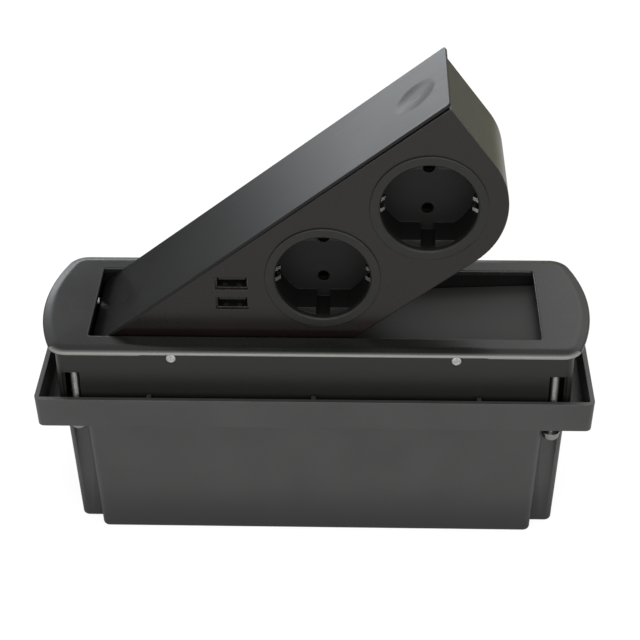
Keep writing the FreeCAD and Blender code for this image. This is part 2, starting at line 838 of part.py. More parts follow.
# Side outline of the head's body, as a face in the plane Y = 0.
# The gap under the lid widens from the hinge to the free end.
def head_outline():
    round_z = head_bottom + head_round
    bend_x = socket_right_x + head_round
    bow = head_round * math.sqrt(0.5)
    p0 = V(head_left, 0, head_left_top)
    p1 = V(head_right, 0, head_top)
    p2 = V(bend_x, 0, round_z)
    p3 = V(socket_right_x, 0, head_bottom)
    p4 = V(head_heel_x, 0, head_bottom)
    p5 = V(head_left, 0, head_left_low)
    middle = V(socket_right_x + bow, 0, round_z - bow)
    edges = [Part.LineSegment(p0, p1).toShape(), Part.LineSegment(p1, p2).toShape(),
             Part.Arc(p2, middle, p3).toShape(), Part.LineSegment(p3, p4).toShape(),
             Part.LineSegment(p4, p5).toShape(), Part.LineSegment(p5, p0).toShape()]
    return Part.Face(Part.Wire(edges))


def rounded_side_corners(body):
    rounds = ((head_heel_x, head_bottom, head_heel_round), (head_left, head_left_low, head_left_round),
              (head_right, head_top, head_corner_round), (head_left, head_left_top, head_corner_round))
    for x, z, radius in rounds:
        chosen = []
        for e in body.Edges:
            centre = e.CenterOfMass
            if e.BoundBox.YLength > 1.0 and abs(centre.x - x) < 0.05 and abs(centre.z - z) < 0.05:
                chosen.append(e)
        body = body.makeFillet(radius, chosen)
    return body


def head_slab(y0, y1):
    face = head_outline()
    face.translate(V(0, y0, 0))
    return rounded_side_corners(face.extrude(V(0, y1 - y0, 0)))


# The casing's rear is set in beside the hinge, where the spring sits
def make_head_casing():
    outside = head_slab(panel_rear, casing_rear)
    hollow = head_outline().makeOffset2D(-casing_wall)
    hollow.translate(V(0, panel_rear - 1, 0))
    hollow = hollow.extrude(V(0, casing_inner_rear - panel_rear + 1, 0))
    hollow = hollow.cut(box(head_left, hinge_step_x + casing_wall, hinge_rear - casing_wall,
                            casing_rear, head_bottom, head_top))
    body = outside.cut(hollow)
    body = body.cut(box(head_left - 1, hinge_step_x, hinge_rear, casing_rear + 1, head_bottom,
                        lid_under))
    hubs = joined([rod_y(pivot_hub / 2, panel_rear, panel_rear + pivot_hub_length, pivot_x, pivot_z),
                   rod_y(pivot_hub / 2, rear_pin_end - 1, hinge_rear, pivot_x, pivot_z)])
    pieces = [body, hubs.common(outside)]
    pieces.append(rod_y(spring_hub / 2, hinge_rear - 1, spring_hub_face, pivot_x, pivot_z))
    pieces.append(box(head_left + plinth_inset_left, head_right - plinth_inset_right,
                      panel_face + plinth_front_inset, casing_rear - plinth_rear_inset,
                      head_top - 1, lid_under))
    post_x = (terminal_left + terminal_right) / 2
    for z in (terminal_low + terminal_post, terminal_high - terminal_post):
        pieces.append(rod_y(terminal_post / 2, terminal_rear, casing_inner_rear + 1, post_x, z))
    body = joined(pieces)
    for x, z in panel_screw_points:
        body = body.cut(rod_y(panel_screw_shaft / 2 + screw_play, 0.0, casing_rear + 1, x, z))
    return body.cut(rod_y(pin_diameter / 2, -window_width, window_width, pivot_x, pivot_z))


def usb_places():
    places = []
    for k in (0, 1):
        places.append(point_on_head(usb_x, usb_height, 0.0, usb_spacing * (0.5 - k)))
    return places


def make_front_panel():
    body = head_slab(panel_face, panel_rear)
    outline_edges = [e for e in body.Edges if e.BoundBox.YMax < panel_face + 0.01]
    body = body.makeFillet(panel_edge_round, outline_edges)
    bosses = []
    for x, z in panel_screw_points:
        bosses.append(rod_y(panel_boss / 2, panel_rear - 0.5, casing_inner_rear, x, z))
    for across in (-usb_post_across, usb_post_across):
        x, z = point_on_head(usb_x, usb_height, across, -usb_post_below)
        bosses.append(rod_y(usb_post / 2, panel_rear - 0.5, usb_board_face, x, z))
    body = joined([body] + bosses)
    for x, z in panel_screw_points:
        body = body.cut(rod_y(panel_screw_shaft / 2, casing_inner_rear - panel_boss_bore_depth,
                              casing_inner_rear + 1, x, z))
    for x in socket_centres:
        body = body.cut(rod_y(cup_diameter / 2 + cup_play, panel_face - 1, panel_rear + 1, x,
                              socket_height))
    half_x = usb_shell_width / 2 + usb_cut_play
    half_z = usb_shell_height / 2 + usb_cut_play
    cut = box(-half_x, half_x, panel_face - 1, panel_rear + 1, -half_z, half_z)
    for x, z in usb_places():
        body = body.cut(upright_on_head(cut, x, z))
    return body.cut(rod_y(pin_diameter / 2 + screw_play, -window_width, 0.0, pivot_x, pivot_z))


def make_panel_screws():
    screw = pan_screw(panel_screw_shaft, panel_screw_length, panel_screw_head,
                      panel_screw_head_height)
    return Part.makeCompound([turned_to(screw, V(0, -1, 0), V(x, casing_rear, z))
                              for x, z in panel_screw_points])


def make_pivot_pins():
    pins = []
    for side, end in ((-1, front_pin_end), (1, rear_pin_end)):
        y0, y1 = sorted((side * end, side * pin_reach))
        h0, h1 = sorted((side * pin_reach, side * (pin_reach + pin_head_height)))
        shaft = rod_y(pin_diameter / 2, y0, y1, pivot_x, pivot_z)
        pins.append(joined([shaft, rod_y(pin_head / 2, h0, h1, pivot_x, pivot_z)]))
    return Part.makeCompound(pins)


# Round insert drawn upright about the Y axis, pin holes one above the other
def socket_insert():
    ring = rod_y(ring_diameter / 2, ring_face, panel_face, 0, 0)
    rims = [e for e in ring.Edges if e.BoundBox.YMax < ring_face + 0.01]
    ring = ring.makeFillet(ring_round, rims)
    cup = rod_y(cup_diameter / 2, panel_face - 0.1, cup_rear, 0, 0)
    towers = []
    for side in (-1, 1):
        towers.append(rod_y(tower_radius, cup_rear - 0.5, tower_end, 0, side * pin_spacing / 2))
    body = joined([ring, cup] + towers)
    radius = recess_diameter / 2
    recess = rod_y(radius, ring_face - 1, recess_floor, 0, 0)
    for side in (-1, 1):
        z0, z1 = sorted((side * chord_offset, side * (radius + 1)))
        ledge = box(-radius, radius, ring_face + chord_drop, recess_floor, z0, z1)
        ledge = ledge.cut(box(-guide_slot / 2, guide_slot / 2, ring_face, recess_floor, z0 - 1, z1 + 1))
        recess = recess.cut(ledge)
    lead_in = Part.makeCone(radius + recess_edge, radius, recess_edge, V(0, ring_face, 0), axis_y)
    body = body.cut(recess).cut(lead_in)
    for side in (-1, 1):
        z = side * pin_spacing / 2
        body = body.cut(rod_y(pin_hole / 2, recess_floor - 1, cup_rear + 1, 0, z))
        body = body.cut(rod_y(contact_outer / 2 + contact_play, contact_front - 0.1, tower_end + 1, 0, z))
        x0, x1 = sorted((side * earth_slot_inner, side * earth_slot_outer))
        body = body.cut(box(x0, x1, earth_slot_front, recess_floor,
                            -earth_slot_width / 2, earth_slot_width / 2))
        half_slot = clip_thickness / 2 + tail_slot_play
        x0, x1 = sorted((side * (clip_radius - half_slot), side * (clip_radius + half_slot)))
        body = body.cut(box(x0, x1, recess_floor - 1, cup_rear + 1,
                            -tail_slot_width / 2, tail_slot_width / 2))
    return body


def make_socket(x):
    return upright_on_head(socket_insert(), x, socket_height)


# Sprung earth strip: a straight tail and a forked front end bent inwards
def earth_clip(side):
    outer = clip_radius + clip_thickness / 2
    inner = clip_radius - clip_thickness / 2
    bend = clip_bend_radius
    crown_end = clip_crown + clip_crown_length
    points = [(inner, clip_root), (bend, crown_end), (bend, clip_crown), (inner, clip_tip),
              (outer, clip_tip), (bend + clip_thickness, clip_crown), (bend + clip_thickness, crown_end),
              (outer, clip_root), (outer, earth_bar_face), (inner, earth_bar_face)]
    outline = [V(side * r, y, -clip_width / 2) for r, y in points]
    strip = Part.Face(Part.makePolygon(outline + [outline[0]])).extrude(V(0, 0, clip_width))
    x0, x1 = sorted((side * (bend - 1), side * (outer + 1)))
    strip = strip.cut(box(x0, x1, ring_face, clip_root - 1, -clip_slit / 2, clip_slit / 2))
    for edge in (-1, 1):
        z0, z1 = sorted((edge * clip_tail_width / 2, edge * clip_width))
        strip = strip.cut(box(x0, x1, recess_floor - 0.6, earth_bar_face + 1, z0, z1))
    return strip


def make_earth_clips():
    clips = []
    for x in socket_centres:
        for side in (-1, 1):
            clips.append(upright_on_head(earth_clip(side), x, socket_height))
    return Part.makeCompound(clips)


def pin_contact(up):
    tube = rod_y(contact_outer / 2, contact_front, contact_back, 0, up)
    tube = tube.cut(rod_y(contact_inner / 2, contact_front - 1, contact_back - contact_base, 0, up))
    return joined([tube, rod_y(stud_diameter / 2, contact_back - 0.5, stud_end, 0, up)])


def make_pin_contacts():
    contacts = []
    for x in socket_centres:
        for side in (-1, 1):
            contacts.append(upright_on_head(pin_contact(side * pin_spacing / 2), x, socket_height))
    return Part.makeCompound(contacts)


# Strip that joins the same pole of both sockets and runs on to the terminal block
def pole_bar(side):
    first = point_on_head(socket_left_x, socket_height, 0.0, side * pin_spacing / 2)
    last = point_on_head(socket_right_x, socket_height, 0.0, side * pin_spacing / 2)
    z = first[1]
    bar = box(terminal_right - terminal_grip, last[0] + bar_overhang, bar_face,
              bar_face + bar_thickness, z - bar_height / 2, z + bar_height / 2)
    for x, height in (first, last):
        bar = bar.cut(rod_y(stud_diameter / 2 + screw_play, bar_face - 1, bar_face + 2, x, height))
    return bar


def earth_rail(side):
    first = point_on_head(socket_left_x, socket_height, side * clip_radius, 0.0)
    last = point_on_head(socket_right_x, socket_height, side * clip_radius, 0.0)
    start = first[0] - bar_overhang
    if side < 0:
        start = terminal_right - terminal_grip
    return box(start, last[0] + bar_overhang, earth_bar_face, earth_bar_face + bar_thickness,
               first[1] - earth_bar_height / 2, first[1] + earth_bar_height / 2)


def make_earth_bar():
    middle = (socket_left_x + socket_right_x) / 2
    lower = earth_rail(1)
    upper = earth_rail(-1)
    link = box(middle - earth_bar_height / 2, middle + earth_bar_height / 2, earth_bar_face,
               earth_bar_face + bar_thickness, lower.BoundBox.ZMin, upper.BoundBox.ZMax)
    return joined([lower, upper, link])


def terminal_bars():
    return (pole_bar(-1), pole_bar(1), earth_rail(-1))


def make_terminal_block():
    body = box(terminal_left, terminal_right, terminal_front, terminal_rear,
               terminal_low, terminal_high)
    for bar in terminal_bars():
        b = bar.BoundBox
        play = terminal_slot_play
        body = body.cut(box(b.XMin - play, terminal_right + 1, b.YMin - play, b.YMax + play,
                            b.ZMin - play, b.ZMax + play))
        body = body.cut(rod_y(terminal_screw_shaft / 2, b.YMax, terminal_rear + 1,
                              b.XMin + terminal_grip / 2, b.Center.z))
        body = body.cut(rod_x(terminal_wire_hole / 2, terminal_left - 1,
                              terminal_left + terminal_wire_depth,
                              terminal_front + terminal_wire_inset, b.Center.z))
    return body


def make_terminal_screws():
    screws = []
    for bar in terminal_bars():
        b = bar.BoundBox
        screw = pan_screw(terminal_screw_shaft, terminal_rear - b.YMax, terminal_screw_head,
                          terminal_screw_head_height)
        screws.append(turned_to(screw, V(0, -1, 0),
                                V(b.XMin + terminal_grip / 2, terminal_rear, b.Center.z)))
    return Part.makeCompound(screws)


# Metal shell of a port drawn upright, open at the front, with two pressed spring fingers
def usb_shell():
    half_x = usb_shell_width / 2
    half_z = usb_shell_height / 2
    front = panel_face + usb_shell_set_back
    wall = usb_shell_wall
    shell = box(-half_x, half_x, front, usb_board_face, -half_z, half_z)
    shell = shell.cut(box(-half_x + wall, half_x - wall, front - 1, usb_board_face + 1,
                          -half_z + wall, half_z - wall))
    fingers = []
    for side in (-1, 1):
        x = side * usb_finger_offset
        low = wall - half_z
        y = panel_face + usb_finger_set_back
        points = [V(x - usb_finger_width / 2, y, low - usb_finger_root),
                  V(x - usb_finger_width / 2, y + usb_finger_length / 2, low + usb_finger_depth),
                  V(x - usb_finger_width / 2, y + usb_finger_length, low - usb_finger_root)]
        face = Part.Face(Part.makePolygon(points + [points[0]]))
        fingers.append(face.extrude(V(usb_finger_width, 0, 0)))
    return joined([shell] + fingers)


def make_usb_shells():
    return Part.makeCompound([upright_on_head(usb_shell(), x, z) for x, z in usb_places()])


def make_usb_tongues():
    half = usb_tongue_width / 2
    high = usb_shell_height / 2 - usb_shell_wall - usb_tongue_gap
    tongue = box(-half, half, panel_face + usb_tongue_set_back, usb_board_face,
                 high - usb_tongue_thickness, high)
    return Part.makeCompound([upright_on_head(tongue, x, z) for x, z in usb_places()])


def make_usb_board():
    half_x = usb_board_width / 2
    board = box(-half_x, half_x, usb_board_face, usb_board_face + usb_board_thickness,
                -usb_board_below, usb_board_above)
    return upright_on_head(board, usb_x, usb_height)


fixed_parts = {
    "lower_tub": make_lower_tub,
    "cable_gland": make_cable_gland,
    "gland_nut": make_gland_nut,
    "bezel_frame": make_bezel_frame,
    "well_liner": make_well_liner,
    "skirt_screws": make_skirt_screws,
    "clamp_screws": make_clamp_screws,
    "clamp_washers": make_clamp_washers,
    "stop_screw": make_stop_screw,
    "pivot_bushes": make_pivot_bushes,
    "return_spring": make_return_spring,
    "flap_pin": make_flap_pin,
    "flap": make_flap,
}

head_parts = {
    "lid_plate": make_lid_plate,
    "head_casing": make_head_casing,
    "front_panel": make_front_panel,
    "panel_screws": make_panel_screws,
    "pivot_pins": make_pivot_pins,
    "earth_clips": make_earth_clips,
    "pin_contacts": make_pin_contacts,
    "earth_bar": make_earth_bar,
    "terminal_block": make_terminal_block,
    "terminal_screws": make_terminal_screws,
    "usb_shells": make_usb_shells,
    "usb_tongues": make_usb_tongues,
    "usb_board": make_usb_board,
}


def main():
    os.makedirs("parts", exist_ok=True)
    shapes = {}
    for name, make in fixed_parts.items():
        shapes[name] = make()
    for name, make in head_parts.items():
        shapes[name] = raised(make())
    shapes["socket_lower"] = raised(make_socket(socket_left_x))
    shapes["socket_upper"] = raised(make_socket(socket_right_x))
    shapes["live_bar"] = raised(pole_bar(-1))
    shapes["neutral_bar"] = raised(pole_bar(1))
    for name, shape in shapes.items():
        shape.exportStep("parts/" + name + ".step")


main()
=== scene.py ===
import math
from collections import namedtuple

import bmesh
import bpy
from mathutils import Matrix, Vector


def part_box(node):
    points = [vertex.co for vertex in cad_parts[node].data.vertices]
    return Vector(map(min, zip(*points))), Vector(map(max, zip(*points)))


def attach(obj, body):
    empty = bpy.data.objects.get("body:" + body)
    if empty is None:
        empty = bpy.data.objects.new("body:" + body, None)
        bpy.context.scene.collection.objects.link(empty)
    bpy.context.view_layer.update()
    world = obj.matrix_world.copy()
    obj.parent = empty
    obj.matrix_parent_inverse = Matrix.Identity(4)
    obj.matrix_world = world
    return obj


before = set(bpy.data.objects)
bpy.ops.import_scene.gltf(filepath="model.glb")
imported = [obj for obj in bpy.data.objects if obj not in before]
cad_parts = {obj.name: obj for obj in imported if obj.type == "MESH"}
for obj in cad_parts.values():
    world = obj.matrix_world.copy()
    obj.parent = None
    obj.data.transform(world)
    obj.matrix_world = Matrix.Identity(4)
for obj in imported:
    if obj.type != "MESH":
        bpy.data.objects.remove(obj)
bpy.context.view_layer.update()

bl_info = {
    "name": "Swivel desk socket finish",
    "version": (1, 0, 0),
    "blender": (4, 5, 0),
    "location": "3D View > Sidebar > Desk Socket",
    "description": "Finishes, threads, contacts and studio for the swivel desk socket",
    "category": "Object",
}

MM = 0.001

# Grip ribs on the gland's cap

rib_inset = 1.1 * MM  # from the cap's end
rib_reach = 8.5 * MM  # from the cap's axis
rib_length = 0.9 * MM
rib_width = 0.9 * MM
rib_height = 0.5 * MM
rib_round = 0.14 * MM

# Threads of the clamp screws

screw_count = 4
screw_spread = 7.0 * MM  # points nearer than this are of one screw
shaft_radius = 2.0 * MM
thread_start = 5.2 * MM  # above the screw's foot
thread_runout = 0.6 * MM  # below the screw's top
thread_sunk = 0.05 * MM
thread_flank = 0.36  # half the ridge's width, as a share of the pitch
thread_taper_turns = 0.5
thread_steps = 28  # per turn
thread_smooth_angle = 60.0

# Contacts under the port tongues

tongue_thickness = 1.9 * MM
contacts_per_port = 4
contact_pitch = 2.3 * MM
contact_width = 1.0 * MM
contact_thickness = 0.12 * MM
contact_drop = 0.02 * MM  # of a strip's middle below the tongue
outer_contact_start = 0.4 * MM  # from the tongue's front
inner_contact_start = 1.0 * MM
contact_end = 8.0 * MM
contact_round = 0.03 * MM

# Patterns in every finish

mottle_range = (0.3, 0.7)  # where a pattern turns from its darker to its lighter tone
bevel_samples = 4

# Moulded plastic

plastic_cloud = 26.0 * MM
plastic_rub = 2.2 * MM
plastic_rub_stretch = (1.0, 0.16, 0.5)
plastic_pit_to_grain = 1.7  # size of a pit by that of the grain
plastic_scuff_range = (0.60, 0.78)
plastic_cloud_dulling = 0.10
plastic_scuff_dulling = 0.07
plastic_edge_gain = 2.2
plastic_edge_polish = 0.10
plastic_edge_tone = 2.1
plastic_least_wear = 0.4
plastic_cloud_wear = 0.8
plastic_rough_limits = (0.08, 0.95)
lip_highlight_blend = 0.5 * MM  # over which the painted highlight on a lip sets in

# Powder coat on sheet

coat_peel = 0.75 * MM
coat_dust = 0.16 * MM
coat_cloud = 34.0 * MM
coat_rub = 1.4 * MM
coat_rub_stretch = (0.06, 1.0, 0.06)
coat_tones = (0.90, 1.12)
coat_cloud_dulling = 0.08
coat_rub_dulling = 0.10
coat_edge_round = 0.8  # by that of the plastic
coat_edge_gain = 2.4
coat_edge_polish = 0.08
coat_edge_tone = 2.0
coat_wear = 0.30
coat_depth = 0.012 * MM
coat_rough_limits = (0.1, 0.9)

# Plated and drawn metal

metal_mark = 0.22 * MM
metal_cloud = 1.6 * MM
metal_tarnish_range = (0.45, 0.75)
metal_tarnish_tone = 0.55
metal_tarnish_dulling = 0.25
metal_mark_dulling = 0.16
metal_edge_round = 0.35  # by that of the plastic
metal_edge_gain = 2.0
metal_edge_polish = 0.05
metal_edge_tone = 1.25
metal_wear = 0.6
metal_depth = 0.004 * MM
metal_rough_limits = (0.06, 0.9)

# Circuit board

weave_pitch = 2.4 * MM
weave_waviness = 1.5
weave_share = 0.25
weave_tone = 0.7
weave_dulling = 0.12
track_pitch = 3.2 * MM
track_gap = 0.035
track_share = 0.6
track_depth = 0.02 * MM
board_roughness = 0.30
board_rough_limits = (0.1, 0.9)
board_edge_round = 0.1 * MM

# Tone of some platings against their metal; the contacts' and port shells' darker tones are painted
# shade of the holes and ports they sit in

clamp_screw_tone = 0.55
clip_tone = 1.1
contact_shade_tone = 0.08
shell_shade_tone = 0.14

# Soft boxes and cards, in metres

SoftBox = namedtuple("SoftBox", "name place width height power colour")
Card = namedtuple("Card", "name middle width height head_tone")

plain_light = (1.0, 1.0, 1.0)
cool_light = (0.90, 0.95, 1.0)
lamp_target = Vector((0.0, 0.0, 0.10))
soft_boxes = (
    SoftBox("top_box", (0.10, -0.20, 1.10), 0.8, 0.8, "top_lamp", plain_light),
    SoftBox("right_box", (0.45, 0.95, 0.95), 0.6, 0.6, "right_lamp", plain_light),
    SoftBox("left_box", (-0.44, 1.02, 0.42), 0.5, 0.2, "left_lamp", cool_light),
    SoftBox("front_box", (0.0, -1.20, 0.66), 1.7, 0.40, "front_lamp", plain_light))
cards = (
    Card("dark_card", (-0.62, 0.60, 0.12), 0.60, 0.24, 1.0),
    Card("grey_card", (-0.25, 0.62, 0.50), 0.26, 0.24, 1.0),
    Card("warm_card", (0.27, 0.42, 0.09), 0.36, 0.18, 0.40))
card_tone_start = 0.4  # below the card's middle, as a share of its height
card_tone_end = 0.3  # above the card's middle
card_roughness = 0.9

# Floor and room

floor_reach = 6.0
floor_drop = 0.05 * MM
floor_make_up = 0.55  # glow for each share of shadow, so that open paper stays white
white = (1.0, 1.0, 1.0, 1.0)

# Camera: distances in metres, film and lens in millimetres

camera_azimuth = math.radians(-2.0557)
camera_elevation = math.radians(34.2747)
camera_roll = math.radians(-0.6529)
camera_aim = Vector((0.0, 0.0, 0.09))
camera_distance = 0.73546
camera_film = 36.0
camera_lens = 95.92
camera_shift = (0.00633, -0.00487)
camera_nearest = 0.02
camera_farthest = 60.0

# Sockets of the colour Mix node by number, because several of them share a name

MIX_SHARE, MIX_FIRST, MIX_SECOND, MIX_RESULT = 0, 6, 7, 2

# Painted shade and painted highlights in a plastic's tone, from where each starts to where it is
# full

Fade = namedtuple("Fade", "axis start full gain dulling")
Lip = namedtuple("Lip", "start full reach gain")  # a painted highlight on a lip: in Z, and only beyond its reach in Y


# Sizes and colours that a user may change

class DeskSocketSizes(bpy.types.PropertyGroup):
    edge_round: bpy.props.FloatProperty(
        name="Edge round", description="How far moulded edges are broken",
        default=0.35 * MM, min=0.0, unit="LENGTH", precision=5)
    grain: bpy.props.FloatProperty(
        name="Grain", description="Size of the moulded grain",
        default=0.32 * MM, min=0.05 * MM, unit="LENGTH", precision=5)
    grain_depth: bpy.props.FloatProperty(
        name="Grain depth", description="Height of the moulded grain",
        default=0.016 * MM, min=0.0, unit="LENGTH", precision=6)
    thread_pitch: bpy.props.FloatProperty(
        name="Thread pitch", description="Rise of the clamp screws' thread per turn",
        default=0.7 * MM, min=0.3 * MM, unit="LENGTH", precision=5)
    thread_proud: bpy.props.FloatProperty(
        name="Thread height", description="How far the thread stands out of the shaft",
        default=0.13 * MM, min=0.02 * MM, unit="LENGTH", precision=6)
    grip_ribs: bpy.props.IntProperty(
        name="Grip ribs", description="Ribs round the gland's cap", default=22, min=6, max=60)


class DeskSocketColours(bpy.types.PropertyGroup):
    tub: bpy.props.FloatVectorProperty(
        name="Tub", description="Plastic of the tub and rim", default=(0.026, 0.026, 0.0255),
        size=3, min=0.0, max=1.0, subtype="COLOR")
    bezel: bpy.props.FloatVectorProperty(
        name="Bezel", description="Finish of the bezel plate", default=(0.0085, 0.0085, 0.0080),
        size=3, min=0.0, max=1.0, subtype="COLOR")
    # darkest of the plastics: partly the walls' own black, partly painted shade of the well
    inner: bpy.props.FloatVectorProperty(
        name="Well", description="Plastic of the well's walls", default=(0.0045, 0.0045, 0.0043),
        size=3, min=0.0, max=1.0, subtype="COLOR")
    flap: bpy.props.FloatVectorProperty(
        name="Flap", description="Finish of the flap", default=(0.0180, 0.0180, 0.0172),
        size=3, min=0.0, max=1.0, subtype="COLOR")
    lid: bpy.props.FloatVectorProperty(
        name="Lid", description="Coating of the lid plate", default=(0.0070, 0.0070, 0.0070),
        size=3, min=0.0, max=1.0, subtype="COLOR")
    casing: bpy.props.FloatVectorProperty(
        name="Casing", description="Plastic of the head's casing",
        default=(0.0105, 0.0102, 0.0086), size=3, min=0.0, max=1.0, subtype="COLOR")
    panel: bpy.props.FloatVectorProperty(
        name="Panel", description="Plastic of the front panel", default=(0.0062, 0.0040, 0.0035),
        size=3, min=0.0, max=1.0, subtype="COLOR")
    socket: bpy.props.FloatVectorProperty(
        name="Sockets", description="Plastic of the socket inserts",
        default=(0.0110, 0.0108, 0.0094), size=3, min=0.0, max=1.0, subtype="COLOR")
    gland: bpy.props.FloatVectorProperty(
        name="Gland", description="Plastic of the cable gland", default=(0.020, 0.020, 0.020),
        size=3, min=0.0, max=1.0, subtype="COLOR")
    zinc: bpy.props.FloatVectorProperty(
        name="Zinc", description="Plating of the screws", default=(0.42, 0.42, 0.41),
        size=3, min=0.0, max=1.0, subtype="COLOR")
    nickel: bpy.props.FloatVectorProperty(
        name="Nickel", description="Plating of the earth clips and port shells",
        default=(0.66, 0.65, 0.62), size=3, min=0.0, max=1.0, subtype="COLOR")
    spring: bpy.props.FloatVectorProperty(
        name="Spring steel", description="Steel of the spring and pins", default=(0.40, 0.40, 0.41),
        size=3, min=0.0, max=1.0, subtype="COLOR")
    brass: bpy.props.FloatVectorProperty(
        name="Brass", description="Brass of the contacts and bars", default=(0.42, 0.29, 0.12),
        size=3, min=0.0, max=1.0, subtype="COLOR")
    terminal: bpy.props.FloatVectorProperty(
        name="Terminals", description="Plastic of the terminal block", default=(0.50, 0.50, 0.47),
        size=3, min=0.0, max=1.0, subtype="COLOR")
    board: bpy.props.FloatVectorProperty(
        name="Board", description="Lacquer of the circuit board", default=(0.012, 0.075, 0.032),
        size=3, min=0.0, max=1.0, subtype="COLOR")
    track: bpy.props.FloatVectorProperty(
        name="Tracks", description="Copper tracks under the board's lacquer",
        default=(0.05, 0.14, 0.05), size=3, min=0.0, max=1.0, subtype="COLOR")
    bright: bpy.props.FloatVectorProperty(
        name="Bright plating", description="Plating of the stop screw", default=(0.90, 0.90, 0.88),
        size=3, min=0.0, max=1.0, subtype="COLOR")
    gold: bpy.props.FloatVectorProperty(
        name="Gold", description="Plating of the port contacts", default=(0.83, 0.61, 0.26),
        size=3, min=0.0, max=1.0, subtype="COLOR")


class DeskSocketStage(bpy.types.PropertyGroup):
    sky: bpy.props.FloatProperty(
        name="Sky", description="Light of the room on the object", default=0.50, min=0.0)
    top_lamp: bpy.props.FloatProperty(
        name="Top lamp", description="Power of the soft box above",
        default=3.5, min=0.0, unit="POWER")
    right_lamp: bpy.props.FloatProperty(
        name="Right lamp", description="Power of the soft box behind on the right",
        default=1.6, min=0.0, unit="POWER")
    left_lamp: bpy.props.FloatProperty(
        name="Left lamp", description="Power of the low soft box behind on the left",
        default=1.6, min=0.0, unit="POWER")
    front_lamp: bpy.props.FloatProperty(
        name="Front lamp", description="Power of the long soft box in front",
        default=14.0, min=0.0, unit="POWER")
    floor: bpy.props.FloatVectorProperty(
        name="Floor", description="Colour of the floor", default=(0.80, 0.80, 0.80),
        size=3, min=0.0, max=1.0, subtype="COLOR")
    shadow: bpy.props.FloatProperty(
        name="Shadow", description="How much of the object's shadow the floor shows",
        default=0.20, min=0.0, max=1.0, subtype="FACTOR")
    mirrored_shadow: bpy.props.FloatProperty(
        name="Mirrored shadow", description="How much of that shadow the gloss of the object shows",
        default=0.90, min=0.0, max=1.0, subtype="FACTOR")
    dark_card: bpy.props.FloatVectorProperty(
        name="Dark card", description="Colour of the card that the lid mirrors",
        default=(0.02, 0.02, 0.02), size=3, min=0.0, max=1.0, subtype="COLOR")
    grey_card: bpy.props.FloatVectorProperty(
        name="Grey card", description="Colour of the card that the bezel's left end mirrors",
        default=(0.40, 0.385, 0.37), size=3, min=0.0, max=1.0, subtype="COLOR")
    warm_card: bpy.props.FloatVectorProperty(
        name="Warm card", description="Colour of the card that the end wall mirrors",
        default=(0.52, 0.50, 0.37), size=3, min=0.0, max=1.0, subtype="COLOR")


# Shader maths as sums on sockets

class Signal:
    """One output socket of a finish, on which sums can be written."""

    def __init__(self, finish, socket):
        self.finish = finish
        self.socket = socket

    def maths(self, operation, first, second):
        node = self.finish.add("ShaderNodeMath", {"operation": operation}, {0: first, 1: second})
        return node[0]

    def __add__(self, other):
        return self.maths("ADD", self, other)

    def __radd__(self, other):
        return self.maths("ADD", other, self)

    def __sub__(self, other):
        return self.maths("SUBTRACT", self, other)

    def __rsub__(self, other):
        return self.maths("SUBTRACT", other, self)

    def __mul__(self, other):
        return self.maths("MULTIPLY", self, other)

    def __rmul__(self, other):
        return self.maths("MULTIPLY", other, self)

    def clamped(self, low, high):
        node = self.finish.add("ShaderNodeClamp", {}, {"Value": self, "Min": low, "Max": high})
        return node["Result"]

    def between(self, low, high):
        node = self.finish.add("ShaderNodeMapRange", {"interpolation_type": "SMOOTHSTEP"},
                               {"Value": self, "From Min": low, "From Max": high})
        return node["Result"]


class Outputs:
    """A node's outputs as signals, by name or number."""

    def __init__(self, finish, node):
        self.finish = finish
        self.node = node

    def __getitem__(self, key):
        return Signal(self.finish, self.node.outputs[key])


class Finish:
    """The node tree of one surface finish."""

    def __init__(self, tree):
        self.tree = tree
        self.tree.nodes.clear()

    def add(self, kind, settings, values):
        """A new node with its settings made first and its sockets set or linked after."""
        node = self.tree.nodes.new(kind)
        for name, setting in settings.items():
            setattr(node, name, setting)
        for key, value in values.items():
            socket = node.inputs[key]
            if isinstance(value, Signal):
                self.tree.links.new(value.socket, socket)
            else:
                socket.default_value = value
        return Outputs(self, node)

    def place(self):
        return self.add("ShaderNodeTexCoord", {}, {})["Object"]

    def along(self, axis):
        """Place on the surface along X, Y or Z."""
        return self.add("ShaderNodeSeparateXYZ", {}, {"Vector": self.place()})[axis]

    def speckle(self, size, detail, rough, stretch=(1.0, 1.0, 1.0)):
        """Cloudy pattern; a stretch under 1 draws it out along that axis."""
        scaled = self.add("ShaderNodeVectorMath", {"operation": "MULTIPLY"},
                          {0: self.place(), 1: stretch})["Vector"]
        return self.add("ShaderNodeTexNoise", {"noise_dimensions": "3D"},
                        {"Vector": scaled, "Scale": 1.0 / size, "Detail": detail,
                         "Roughness": rough})["Fac"]

    def cells(self, size):
        return self.add("ShaderNodeTexVoronoi", {"feature": "F1"},
                        {"Vector": self.place(), "Scale": 1.0 / size})["Distance"]

    def mixed(self, share, first, second):
        """Colour from first to second as the share rises."""
        node = self.add("ShaderNodeMix", {"data_type": "RGBA"},
                        {MIX_SHARE: share, MIX_FIRST: first, MIX_SECOND: second})
        return node[MIX_RESULT]

    def blend(self, first, second, share):
        """Two patterns as one, the first by its share and the second by the rest."""
        return first * share + second * (1.0 - share)

    def rounded(self, radius):
        return self.add("ShaderNodeBevel", {"samples": bevel_samples},
                        {"Radius": radius})["Normal"]

    def edge_mask(self, rounded_normal, gain):
        """Strong where the rounded normal leaves the flat one, which is at edges."""
        flat = self.add("ShaderNodeNewGeometry", {}, {})["Normal"]
        level = self.add("ShaderNodeVectorMath", {"operation": "DOT_PRODUCT"},
                         {0: rounded_normal, 1: flat})["Value"]
        return ((1.0 - level).clamped(0.0, 1.0) * gain).clamped(0.0, 1.0)

    def bumped(self, height, distance, normal):
        return self.add("ShaderNodeBump", {}, {"Strength": 1.0, "Distance": distance,
                                               "Height": height, "Normal": normal})["Normal"]

    def close(self, values):
        shader = self.add("ShaderNodeBsdfPrincipled", {}, values)
        self.add("ShaderNodeOutputMaterial", {}, {"Surface": shader["BSDF"]})


